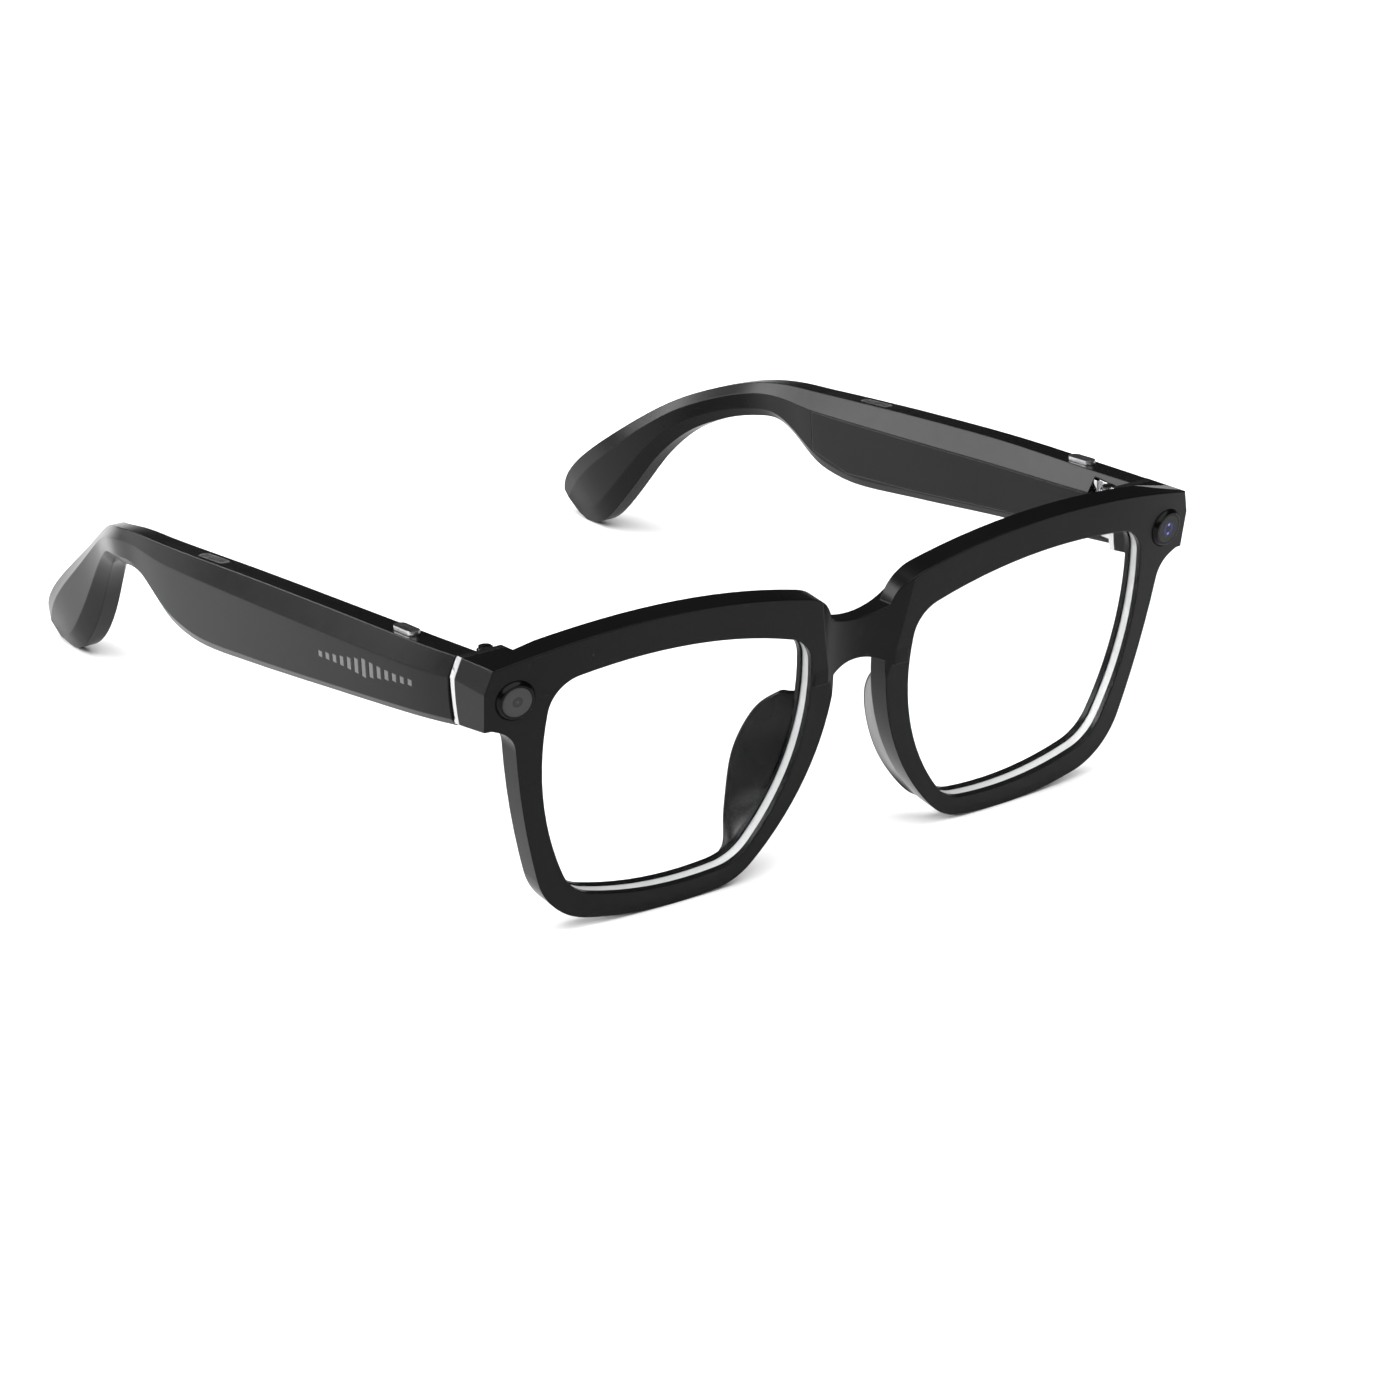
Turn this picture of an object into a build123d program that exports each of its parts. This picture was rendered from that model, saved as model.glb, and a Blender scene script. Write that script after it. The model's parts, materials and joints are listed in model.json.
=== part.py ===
from build123d import *
from collections import namedtuple
from math import cos, radians, sin, sqrt, tan
import os

# Smart glasses with a camera, an indicator light, two folding temples and two
# push buttons. Left and right are the wearer's: +X is the wearer's left.
# X runs across the face, +Y back along the temples, +Z up from the table.
# Most lengths along Y are given behind the datum, a line near the lens plane,
# which keeps the origin under the middle of the whole object.

# ---------------------------------------------------------------- overall
DATUM_Y = -82.9          # the datum line, in the part's own frame
FACE_TILT = 6.5          # the front leans forward at the top, degrees
FACE_PIVOT_Z = 16.0      # height where the tilted face crosses the datum
FACE_CURVE_2 = 6.3e-5    # the face falls back by this times x squared, plus
FACE_CURVE_4 = 1.03e-7   # this times x to the fourth, in mm
RIM_DEPTH = 4.3          # front to back of a rim

# ---------------------------------------------------------------- front outline
# Corners are (x, height, corner radius, bulge of the side that follows).
LENS_CORNERS = [
    (11.6, 43.4, 6.5, 3.6),
    (62.1, 46.9, 6.5, 3.7),
    (56.0, 7.5, 9.0, 2.0),
    (22.8, 4.6, 9.0, 5.2),
]
RIM_CORNERS = [
    (7.3, 50.0, 8.0, 4.4),
    (73.0, 51.3, 0.0, 0.0),
    (74.0, 47.2, 0.0, 0.0),
    (73.6, 40.9, 1.2, 0.0),
    (68.5, 38.9, 5.0, 1.1),
    (60.2, 3.88, 13.0, 2.3),
    (22.6, 1.08, 11.0, 7.7),
]
LENS_THICKNESS = 2.0
LENS_SETBACK = 1.1       # lens face behind the rim face
LENS_GROWTH = 1.010      # the lens is larger than its opening by this factor
GROOVE_GROWTH = 1.012    # and its groove by this one
GROOVE_PLAY = 0.05       # between the lens and each side of its groove

# ---------------------------------------------------------------- bridge
BRIDGE_HALF = 10.0
BRIDGE_TOP_Z = 47.9
BRIDGE_TOP_MID_Z = 44.0
BRIDGE_LOW_Z = 34.4
BRIDGE_LOW_HALF = 7.0
BRIDGE_LOW_MID_Z = 36.8
BRIDGE_BACK_Y = 2.4
SCOOP_RADIUS = 17.0
SCOOP_BOTTOM_Y = -0.8
CHANNEL_POINTS = [(68.0, 47.0), (55.0, 50.8), (43.0, 51.8), (30.0, 51.4), (19.0, 49.6), (8.5, 44.2), (0.0, 41.2)]
CHANNEL_WIDTH = 3.0
CHANNEL_DEPTH = 1.7      # measured from the rims' back
BROW_COVER = 0.8
FLEX_THICKNESS = 0.3
FLEX_MARGIN = 0.3        # from the ribbon cable to each side of its channel

# ---------------------------------------------------------------- end pieces and seam
BLOCK_INNER_X = 64.8
BLOCK_SIDE = [(-8, 41.9), (0, 40.7), (12, 38.9), (12, 50.7), (0, 51.4), (-8, 51.8)]
SEAM_OUTLINE = [(64.8, 36.0), (73.2, 36.0), (73.9, 39.8), (74.35, 47.3), (73.2, 51.1), (72.9, 53.0), (64.8, 53.0)]
SEAM_Y = 8.0             # front face of the metal plate, at its top and bottom
SEAM_BOW = 0.6           # the seam bows backwards by this much at mid height
SEAM_TOP_Z = 51.0
SEAM_LOW_Z = 39.6
PLATE_THICKNESS = 1.3
SEAM_GAP = 0.2

# The top of each front corner is trimmed flat: it rises towards the middle and
# falls backwards from its outer front corner.
TRIM_X = 73.2
TRIM_Z = 51.4
TRIM_RISE = 0.244        # mm per mm towards the middle
TRIM_PITCH = 3.4         # degrees
TRIM_INNER_X = 55.0

CAMERA_X = 68.9          # camera and indicator sit at +x and -x
CAMERA_Z = 45.2
BEZEL_RADIUS = 3.45      # at the face; the bezel narrows as it stands proud
BEZEL_TOP_RADIUS = 3.0
BEZEL_PROUD = 0.7
WINDOW_RADIUS = 2.6
WINDOW_THICKNESS = 0.8
BARREL_RADIUS = 2.5
CAMERA_POCKET = 6.4      # square pocket for the module, open to the seam
CAMERA_POCKET_DEPTH = 3.0
CAMERA_POCKET_SHIFT = 0.4
MODULE_SLACK = 0.1       # clearance round the module in its pocket
BODY_FRONT = 3.8         # the camera's body lies between these two depths behind the face
BODY_BACK = 7.0
BARREL_SLACK = 0.15      # between the camera's barrel and its bore
LIGHT_SIZE = (2.0, 1.6)
LIGHT_FRONT = 3.2        # depth of the indicator light's front behind the face
BOARD_BACK = 4.8         # the indicator's board ends this far behind the face
BEZEL_SUNK = 0.8
FLEX_TAIL = 0.9          # how far the ribbon cable reaches into each end piece
BEYOND = 1.0             # cuts reach this far past the pieces they open

# ---------------------------------------------------------------- nose pads
# Level sections of the left pad: height, x of the root towards the nose and
# towards the lens, then x and distance behind the datum of the pad's rear edge.
PAD_STATIONS = [
    (3.9, 19.6, 22.4, 20.9, 8.6),
    (7.0, 17.0, 20.6, 18.4, 10.9),
    (10.3, 14.3, 18.0, 16.9, 12.7),
    (14.0, 12.0, 15.8, 15.7, 13.7),
    (18.0, 10.2, 14.2, 14.7, 14.0),
    (22.0, 8.8, 12.8, 13.6, 13.3),
    (26.0, 7.6, 11.6, 12.6, 11.5),
    (29.5, 7.0, 10.9, 11.9, 8.4),
    (31.5, 7.2, 10.3, 10.9, 5.8),
]
PAD_TIP = 0.9            # half thickness of the pad's rounded rear edge
PAD_ROOT_DEPTH = 3.7     # the pads start this far behind the face, inside the rims
PAD_HOLLOW = 0.42        # how far across its depth the nose side bows

# ---------------------------------------------------------------- hinge
PIN_X = 66.3
PIN_Y = 11.6
PIN_RADIUS = 0.6
PIN_CLEARANCE = 0.05
KNUCKLE_RADIUS = 1.5
KNUCKLE_LEVELS = (41.2, 43.6, 47.2, 49.6)
KNUCKLE_GAP = 0.1
WEB_FRONT_Y = 9.0        # the knuckles' webs start here, inside the plate
LEAF_X = 70.4            # outer face of the leaf, on the hinge pocket's wall
LEAF_THICKNESS = 0.8
LEAF_ARM = 2.0
LEAF_FRONT_Y = 10.6
LEAF_BACK_Y = 18.5
LEAF_LEVELS = (41.6, 48.8)
FLANGE_X = 68.9          # the leaf's rear flange reaches this near the middle
HINGE_POCKET_Y = 18.7
HINGE_POCKET_LEVELS = (40.7, 49.1)
HINGE_RELIEF_X = 68.6    # nothing of the temple is nearer the middle beside the pin
PIN_HEAD_RADIUS = 1.2
PIN_HEAD = 0.6
SCREW_RADIUS = 0.6
SCREW_HEAD_RADIUS = 1.0
SCREW_HEAD_DEPTH = 0.5
SCREW_SLOT = 0.3
PLATE_SCREW_X = 71.6
PLATE_SCREW_LEVELS = (40.9, 49.4)
PLATE_SCREW_SEAT_Y = 9.6
PLATE_SCREW_LENGTH = 5.6
LEAF_SCREW_Y = 14.8
LEAF_SCREW_LEVELS = (43.1, 46.5)
LEAF_SCREW_LENGTH = 3.3

# ---------------------------------------------------------------- temple stations
# Each row is one cross-section, square to the temple's own line:
# distance behind the datum, height of its middle, pitch (degrees below level),
# height, then the x of: top inner, top outer, outer shoulder, outer foot,
# bottom outer, bottom inner, inner foot, inner shoulder; then the drops of the
# outer and inner shoulders and the rise of the feet.
TEMPLE_STATIONS = [
    (7.0, 45.1, 3, 11.7, 69.4, 73.2, 74.3, 74.0, 73.2, 68.8, 68.2, 68.0, 3.6, 3.0, 1.2),
    (20.0, 43.6, 4, 12.5, 69.9, 74.0, 75.6, 75.2, 74.4, 68.9, 68.3, 67.8, 3.8, 3.5, 1.2),
    (45.0, 40.9, 4, 14.1, 71.0, 74.8, 76.5, 76.0, 75.2, 69.4, 68.8, 68.2, 3.9, 3.8, 1.2),
    (70.0, 37.8, 5, 15.4, 71.2, 74.9, 76.5, 76.0, 75.2, 69.5, 68.9, 68.3, 3.7, 3.7, 1.3),
    (90.0, 35.4, 6, 15.7, 71.2, 74.8, 76.0, 75.5, 74.7, 69.6, 69.0, 68.5, 3.4, 3.3, 1.5),
    (101.0, 35.4, 7, 13.2, 71.1, 74.5, 75.5, 75.1, 74.2, 69.9, 69.1, 68.6, 3.0, 2.9, 1.9),
    (111.0, 37.1, 9, 7.6, 70.8, 74.0, 74.7, 74.5, 73.6, 70.2, 69.2, 69.0, 2.2, 2.2, 1.5),
    (120.0, 35.7, 15, 6.5, 69.9, 72.6, 73.9, 73.8, 72.5, 69.8, 68.6, 68.5, 1.9, 1.9, 1.6),
    (128.0, 33.0, 24, 6.3, 66.5, 69.2, 71.1, 71.1, 69.6, 66.9, 65.3, 65.2, 1.9, 1.9, 1.8),
    (135.5, 29.0, 34, 6.8, 63.2, 66.2, 68.2, 68.2, 66.6, 63.7, 61.9, 61.8, 2.0, 2.0, 2.0),
    (142.5, 23.4, 42, 8.6, 60.9, 64.1, 66.2, 66.2, 64.5, 61.2, 59.5, 59.4, 2.2, 2.4, 2.4),
    (149.5, 16.6, 47, 11.6, 59.2, 62.9, 64.9, 64.9, 63.0, 59.6, 58.1, 58.0, 2.6, 3.0, 3.0),
    (156.5, 9.9, 51, 14.0, 58.4, 62.2, 63.9, 63.9, 62.2, 58.7, 57.6, 57.5, 3.0, 3.4, 3.4),
    (162.5, 4.7, 57, 13.4, 58.7, 61.6, 62.7, 62.7, 61.6, 58.9, 58.2, 58.2, 3.2, 3.4, 3.4),
    (166.0, 2.12, 62, 9.0, 59.3, 60.9, 61.7, 61.7, 60.9, 59.4, 58.9, 58.9, 2.4, 2.4, 2.4),
]

Station = namedtuple("Station", "y z pitch height top_in top_out out out_foot low_out low_in in_foot inn "
                     "drop_out drop_in rise")
TEMPLE_SECTIONS = 30

# ---------------------------------------------------------------- electronics bay
BAY_STATIONS = [Station(*row) for row in TEMPLE_STATIONS[:6]]
BAY_INNER_X = 69.7       # the inner cover closes the bay here
BAY_OUTER_X = 73.6
BAY_FLOOR = 2.3
BAY_ROOF = 4.4
BAY_FRONT_Y = 21.1
BAY_BACK_Y = 98.0
COVER_FRONT_Y = 20.1
COVER_BACK_Y = 100.0
COVER_INSET = 0.3        # from the creases of the temple's inner side to the cover's edge
BAY_PITCH = 6.8          # the bay's middle line dips backwards by this
BOARD_Y = 32.4
BOARD_Z = 41.25
BOARD_SIZE = (20.0, 5.0)
BOARD_THICKNESS = 0.8
MAIN_CHIPS = [(-1.5, 4.4, 4.2), (3.6, 4.0, 3.0), (7.6, 2.4, 3.6)]
AUDIO_CHIPS = [(0.2, 3.0, 3.0), (5.0, 4.6, 4.0)]
CHIP_HEIGHT = 1.0
BATTERY_Y = 60.0
BATTERY_Z = 37.95
BATTERY_SIZE = (35.0, 6.4)
SPEAKER_Y = 88.0
SPEAKER_Z = 34.65
SPEAKER_SIZE = (13.0, 6.8)
BAY_FILL = 3.4           # thickness of the battery and of the speaker

# ---------------------------------------------------------------- buttons and grilles
TOP_STRIP_X = 72.2       # middle of the flat strip along the top
BUTTON_Y = 25.6
BUTTON_LENGTH = 6.1
BUTTON_WIDTH = 2.3
BUTTON_PROUD = 0.8
BUTTON_SUNK = 0.8
BUTTON_TRAVEL = 0.4
BUTTON_GAP = 0.12
STEM_RADIUS = 0.6
STEM_HOLE_RADIUS = 0.75
STEM_LENGTH = 5.0
SWITCH_SIZE = (2.4, 3.0)
SWITCH_HEIGHT = 1.6
GRILLE_X = 73.0
GRILLE_Y = 85.5
GRILLE_LENGTH = 8.4
GRILLE_WIDTH = 2.0
GRILLE_THICKNESS = 0.8
GRILLE_SLITS = 7
GRILLE_SLIT = 0.55
GRILLE_PITCH = 1.0

# ---------------------------------------------------------------- marks, contacts and core wire
MARK_COUNT = 13
MARK_START_Y = 20.0
MARK_PITCH = 2.16
MARK_WIDTH = 1.0
MARK_TALL = 3.2
MARK_SHORT = 1.0
MARK_DEPTH = 0.25
MARK_REACH = 4.0         # long enough to pass through the outer wall
MARK_Z = 43.2
MARK_FALL = 0.128        # the row of marks drops by this for each mm backwards
CONTACT_COUNT = 4
CONTACT_Y = 26.0
CONTACT_Z = 41.6
CONTACT_PITCH = 2.6
CONTACT_RADIUS = 0.8
CONTACT_X = 67.8         # the contacts' flat faces, just proud of the cover
CONTACT_DEPTH = 0.8
WIRE_RADIUS = 0.7
WIRE_BEND = 12.0

TILT = radians(FACE_TILT)
FACE_UP = Vector(0, -sin(TILT), cos(TILT))
FACE_ORIGIN = Vector(0, DATUM_Y + FACE_PIVOT_Z * tan(TILT), 0)
FACE = Plane(origin=FACE_ORIGIN, x_dir=(1, 0, 0), z_dir=(0, -cos(TILT), -sin(TILT)))
FACE_PLAN = Plane(origin=FACE_ORIGIN, x_dir=(1, 0, 0), z_dir=FACE_UP)
BIG = 200


def face_depth(x):
    """How far the curved face lies behind its middle at x."""
    return FACE_CURVE_2 * x**2 + FACE_CURVE_4 * x**4


def level_plane(z):
    """Horizontal plane at height z; its y is measured behind the datum."""
    return Plane(origin=(0, DATUM_Y, z), x_dir=(1, 0, 0), z_dir=(0, 0, 1))


def side_plane(x):
    """Plane across X at x; its first axis runs behind the datum, its second up."""
    return Plane(origin=(x, DATUM_Y, 0), x_dir=(0, 1, 0), z_dir=(1, 0, 0))


def upright_plane(y):
    """Upright plane at a distance behind the datum, with x across and z up."""
    return Plane(origin=(0, DATUM_Y + y, 0), x_dir=(1, 0, 0), z_dir=(0, -1, 0))


def section_plane(y, z, pitch):
    """Plane square to a temple line that dips backwards by pitch degrees."""
    dip = radians(pitch)
    return Plane(origin=(0, DATUM_Y + y, z), x_dir=(1, 0, 0), z_dir=(0, -cos(dip), sin(dip)))


def face_spot(x, z):
    """Plane lying on the curved face at x and height z, looking outwards."""
    slope = 2 * FACE_CURVE_2 * x + 4 * FACE_CURVE_4 * x**3
    backwards = Vector(0, cos(TILT), sin(TILT))
    along = (Vector(1, 0, 0) + backwards * slope).normalized()
    spot = FACE_ORIGIN + Vector(x, 0, 0) + FACE_UP * (z / cos(TILT)) + backwards * face_depth(x)
    return Plane(origin=spot, x_dir=along, z_dir=along.cross(FACE_UP))


def bulged_outline(corners):
    """Closed flat outline with bulging sides and round corners."""
    with BuildSketch() as outline:
        with BuildLine():
            for (x0, z0, _, bulge), (x1, z1, _, _) in zip(corners, corners[1:] + corners[:1]):
                side = Vector(x1 - x0, z1 - z0)
                if bulge:
                    middle = Vector((x0 + x1) / 2, (z0 + z1) / 2)
                    outwards = Vector(-side.Y, side.X) / side.length
                    ThreePointArc((x0, z0), middle + outwards * bulge, (x1, z1))
                else:
                    Line((x0, z0), (x1, z1))
        make_face()
        for x, z, radius, _ in corners:
            if radius:
                fillet(outline.vertices().sort_by_distance((x, z))[0], radius)
    return outline.sketch


def grown(corners, factor):
    """The same corners scaled about their middle."""
    middle_x = sum(x for x, _, _, _ in corners) / len(corners)
    middle_z = sum(z for _, z, _, _ in corners) / len(corners)
    return [(middle_x + (x - middle_x) * factor, middle_z + (z - middle_z) * factor, radius * factor,
             bulge * factor) for x, z, radius, bulge in corners]


def face_sheet(front, back):
    """Sheet that follows the curve of the face between two depths behind it."""
    stations = range(-78, 79, 13)
    with BuildPart() as sheet:
        with BuildSketch(FACE_PLAN):
            with BuildLine():
                near = Spline([(x, face_depth(x) + front) for x in stations])
                far = Spline([(x, face_depth(x) + back) for x in stations])
                Line(near @ 0, far @ 0)
                Line(near @ 1, far @ 1)
            make_face()
        extrude(amount=BIG / 2, both=True)
    return sheet.part


def ahead_of_seam(setback):
    """Everything in front of the bowed seam moved back by setback."""
    y = SEAM_Y + setback
    middle_z = (SEAM_LOW_Z + SEAM_TOP_Z) / 2
    slope = 4 * SEAM_BOW / (SEAM_TOP_Z - SEAM_LOW_Z)
    with BuildPart() as block:
        with BuildSketch(side_plane(0)):
            with BuildLine():
                ThreePointArc((y, SEAM_LOW_Z), (y + SEAM_BOW, middle_z), (y, SEAM_TOP_Z))
                Polyline((y, SEAM_TOP_Z), (y - 20 * slope, SEAM_TOP_Z + 20), (-30, SEAM_TOP_Z + 20),
                         (-30, SEAM_LOW_Z - 20), (y - 20 * slope, SEAM_LOW_Z - 20), (y, SEAM_LOW_Z))
            make_face()
        extrude(amount=BIG / 2, both=True)
    return block.part


def even_stations(rows, count):
    """The same temple line cut at count evenly spaced sections, smoothly blended."""
    run = [0.0]
    for here, there in zip(rows, rows[1:]):
        run.append(run[-1] + sqrt((there[0] - here[0])**2 + (there[1] - here[1])**2))
    slopes = []
    for i in range(len(rows)):
        low, high = max(i - 1, 0), min(i + 1, len(rows) - 1)
        slopes.append([(b - a) / (run[high] - run[low]) for a, b in zip(rows[low], rows[high])])
    even = []
    for k in range(count):
        goal = run[-1] * k / (count - 1)
        i = min(sum(length < goal for length in run[1:]), len(rows) - 2)
        span = run[i + 1] - run[i]
        t = (goal - run[i]) / span
        blend = (1 + 2 * t) * (1 - t)**2
        even.append([blend * p + (1 - blend) * q + span * t * (1 - t) * ((1 - t) * m - t * n)
                     for p, q, m, n in zip(rows[i], rows[i + 1], slopes[i], slopes[i + 1])])
    return even


def temple_blank():
    """The whole left temple as one smooth solid through its stations."""
    with BuildPart() as blank:
        for row in even_stations(TEMPLE_STATIONS, TEMPLE_SECTIONS):
            cut = Station(*row)
            top = cut.height / 2
            with BuildSketch(section_plane(cut.y, cut.z, cut.pitch)):
                Polygon((cut.top_in, top), (cut.top_out, top), (cut.out, top - cut.drop_out),
                        (cut.out_foot, cut.rise - top), (cut.low_out, -top), (cut.low_in, -top),
                        (cut.in_foot, cut.rise - top), (cut.inn, top - cut.drop_in), align=None)
        loft()
    return blank.part


def station_point(cut, lift):
    """Side-view point at a lift above a station's middle."""
    dip = radians(cut.pitch)
    return (cut.y + lift * sin(dip), cut.z + lift * cos(dip))


def top_plane(x, y):
    """Plane on the flat top strip of the temple, looking up."""
    ridge = [station_point(cut, cut.height / 2) for cut in BAY_STATIONS]
    (y0, z0), (y1, z1) = [pair for pair in zip(ridge, ridge[1:]) if pair[0][0] <= y][-1]
    slope = (z1 - z0) / (y1 - y0)
    return Plane(origin=(x, DATUM_Y + y, z0 + slope * (y - y0)), x_dir=(1, 0, 0), z_dir=(0, -slope, 1))


def bay_plane(x, y, z):
    """Plane across X inside the bay, its first axis along the dipping bay."""
    dip = radians(BAY_PITCH)
    return Plane(origin=(x, DATUM_Y + y, z), x_dir=(0, cos(dip), -sin(dip)), z_dir=(1, 0, 0))


def slab(plane, size, thickness):
    """Flat block standing on a plane."""
    with BuildPart() as block:
        with BuildSketch(plane):
            Rectangle(*size)
        extrude(amount=thickness)
    return block.part


def screw_body(seat, length):
    """Shaft and countersunk head, flush with the plane seat."""
    with BuildPart() as body:
        with BuildSketch(seat):
            Circle(SCREW_HEAD_RADIUS)
        with BuildSketch(seat.offset(-SCREW_HEAD_DEPTH)):
            Circle(SCREW_RADIUS)
        loft()
        with BuildSketch(seat.offset(-SCREW_HEAD_DEPTH)):
            Circle(SCREW_RADIUS)
        extrude(amount=SCREW_HEAD_DEPTH - length)
    return body.part


def screw(seat, length):
    """Slotted countersunk screw."""
    with BuildPart() as slotted:
        add(screw_body(seat, length))
        with BuildSketch(seat):
            Rectangle(2 * SCREW_HEAD_RADIUS, SCREW_SLOT)
        extrude(amount=-SCREW_SLOT, mode=Mode.SUBTRACT)
    return slotted.part


def screw_hole(seat, length):
    """Hole that a screw fills, cleared above its head."""
    with BuildPart() as hole:
        add(screw_body(seat, length))
        with BuildSketch(seat):
            Circle(SCREW_HEAD_RADIUS)
        extrude(amount=SCREW_HEAD_RADIUS)
    return hole.part


def prism(x, outline, length):
    """Solid whose side-view outline is extruded towards +X from x."""
    with BuildPart() as solid:
        with BuildSketch(side_plane(x)):
            Polygon(*outline, align=None)
        extrude(amount=length)
    return solid.part


def between(front, back):
    """Everything on the +X side between two distances behind the datum."""
    return prism(0, [(front, 0), (back, 0), (back, BIG), (front, BIG)], BIG)


def save(piece, name):
    """Label a finished piece and write it."""
    piece.part.label = name
    export_step(piece.part, f"parts/{name}.step")


def save_pair(piece, name):
    """Write the wearer's left piece and its mirror image for the right."""
    with BuildPart() as twin:
        mirror(piece.part, about=Plane.YZ)
    save(piece, f"{name}_left")
    save(twin, f"{name}_right")
    return twin


os.makedirs("parts", exist_ok=True)


# ================================================================ front frame
def lens_solid(growth, play):
    """Curved lens grown from its opening, with play added to its front and back."""
    with BuildPart() as solid:
        with BuildSketch(FACE):
            add(bulged_outline(grown(LENS_CORNERS, growth)))
        extrude(amount=BIG / 2, both=True)
        add(face_sheet(LENS_SETBACK - play, LENS_SETBACK + LENS_THICKNESS + play), mode=Mode.INTERSECT)
    return solid


def brow_strip(width):
    """Band of a given width along the brows, right through the front."""
    with BuildPart() as strip:
        with BuildSketch(FACE):
            with BuildLine():
                Spline(*CHANNEL_POINTS, *[(-x, z) for x, z in CHANNEL_POINTS[-2::-1]])
            trace(line_width=width)
        extrude(amount=BIG / 2, both=True)
    return strip


lens = lens_solid(LENS_GROWTH, 0)
groove = lens_solid(GROOVE_GROWTH, GROOVE_PLAY)

with BuildPart() as end_block:
    add(prism(BLOCK_INNER_X, BLOCK_SIDE, BIG))
    with BuildSketch(upright_plane(0)):
        Polygon(*SEAM_OUTLINE, align=None)
    extrude(amount=BIG / 2, both=True, mode=Mode.INTERSECT)
    add(face_sheet(0, BIG / 4), mode=Mode.INTERSECT)
    add(ahead_of_seam(0), mode=Mode.INTERSECT)

channel = brow_strip(CHANNEL_WIDTH)

with BuildPart() as corner_trim:
    with BuildSketch(section_plane(0, TRIM_Z, TRIM_PITCH)):
        Polygon((TRIM_INNER_X, TRIM_RISE * (TRIM_X - TRIM_INNER_X)), (BIG, TRIM_RISE * (TRIM_X - BIG)),
                (BIG, BIG), (TRIM_INNER_X, BIG), align=None)
    extrude(amount=BIG / 4, both=True)

with BuildPart() as front_blank:
    with BuildSketch(FACE):
        add(bulged_outline(RIM_CORNERS))
        mirror(about=Plane.YZ)
    extrude(amount=BIG / 2, both=True)
    add(face_sheet(0, RIM_DEPTH), mode=Mode.INTERSECT)
    with BuildSketch(upright_plane(BRIDGE_BACK_Y)):
        with BuildLine():
            ThreePointArc((-BRIDGE_HALF, BRIDGE_TOP_Z), (0, BRIDGE_TOP_MID_Z), (BRIDGE_HALF, BRIDGE_TOP_Z))
            Polyline((BRIDGE_HALF, BRIDGE_TOP_Z), (BRIDGE_HALF, BRIDGE_LOW_Z), (BRIDGE_LOW_HALF, BRIDGE_LOW_Z))
            ThreePointArc((BRIDGE_LOW_HALF, BRIDGE_LOW_Z), (0, BRIDGE_LOW_MID_Z),
                          (-BRIDGE_LOW_HALF, BRIDGE_LOW_Z))
            Polyline((-BRIDGE_LOW_HALF, BRIDGE_LOW_Z), (-BRIDGE_HALF, BRIDGE_LOW_Z),
                     (-BRIDGE_HALF, BRIDGE_TOP_Z))
        make_face()
    extrude(amount=2 * BRIDGE_BACK_Y)
    with BuildSketch(level_plane(0)):
        with Locations((0, SCOOP_BOTTOM_Y - SCOOP_RADIUS)):
            Circle(SCOOP_RADIUS)
    extrude(amount=BIG / 2, mode=Mode.SUBTRACT)
    add(corner_trim.part, mode=Mode.SUBTRACT)
    mirror(corner_trim.part, about=Plane.YZ, mode=Mode.SUBTRACT)
    add(end_block.part)
    mirror(end_block.part, about=Plane.YZ)

camera_spot = face_spot(CAMERA_X, CAMERA_Z)

with BuildPart() as camera_pocket:
    with BuildSketch(upright_plane(0)):
        with Locations((CAMERA_X + CAMERA_POCKET_SHIFT, CAMERA_Z)):
            Rectangle(CAMERA_POCKET, CAMERA_POCKET)
    extrude(amount=BIG / 2, both=True)
    add(face_sheet(CAMERA_POCKET_DEPTH, BIG / 4), mode=Mode.INTERSECT)
    add(ahead_of_seam(0), mode=Mode.INTERSECT)

with BuildPart() as camera_well:
    with BuildSketch(camera_spot):
        Circle(BEZEL_RADIUS)
    extrude(amount=-BEZEL_SUNK)
    with BuildSketch(camera_spot):
        Circle(BARREL_RADIUS)
    extrude(amount=-CAMERA_POCKET_DEPTH - BEYOND)

plate_seats = [Plane(origin=(PLATE_SCREW_X, DATUM_Y + PLATE_SCREW_SEAT_Y, z), z_dir=(0, 1, 0))
               for z in PLATE_SCREW_LEVELS]

with BuildPart() as plate_holes:
    for seat in plate_seats:
        add(screw_hole(seat, PLATE_SCREW_LENGTH))

with BuildPart() as cable_layer:
    add(channel.part)
    add(face_sheet(RIM_DEPTH - CHANNEL_DEPTH, RIM_DEPTH - BROW_COVER), mode=Mode.INTERSECT)

with BuildPart() as brow_cover:
    add(channel.part)
    Box(2 * BLOCK_INNER_X, BIG * 2, BIG, mode=Mode.INTERSECT)
    add(face_sheet(RIM_DEPTH - BROW_COVER, BIG / 4), mode=Mode.INTERSECT)
    add(front_blank.part, mode=Mode.INTERSECT)

with BuildPart() as front_frame:
    add(front_blank.part)
    with BuildSketch(FACE):
        add(bulged_outline(LENS_CORNERS))
        mirror(about=Plane.YZ)
    extrude(amount=BIG / 2, both=True, mode=Mode.SUBTRACT)
    add(cable_layer.part, mode=Mode.SUBTRACT)
    add(brow_cover.part, mode=Mode.SUBTRACT)
    for cut in (groove, camera_pocket, camera_well, plate_holes):
        add(cut.part, mode=Mode.SUBTRACT)
        mirror(cut.part, about=Plane.YZ, mode=Mode.SUBTRACT)
save(front_frame, "front_frame")
save(brow_cover, "brow_cover")
save_pair(lens, "lens")

flex_front = RIM_DEPTH - CHANNEL_DEPTH
with BuildPart() as front_flex:
    add(brow_strip(CHANNEL_WIDTH - 2 * FLEX_MARGIN).part)
    Box(2 * (BLOCK_INNER_X + FLEX_TAIL), BIG * 2, BIG, mode=Mode.INTERSECT)
    add(face_sheet(flex_front, flex_front + FLEX_THICKNESS), mode=Mode.INTERSECT)
save(front_flex, "front_flex")

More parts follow.
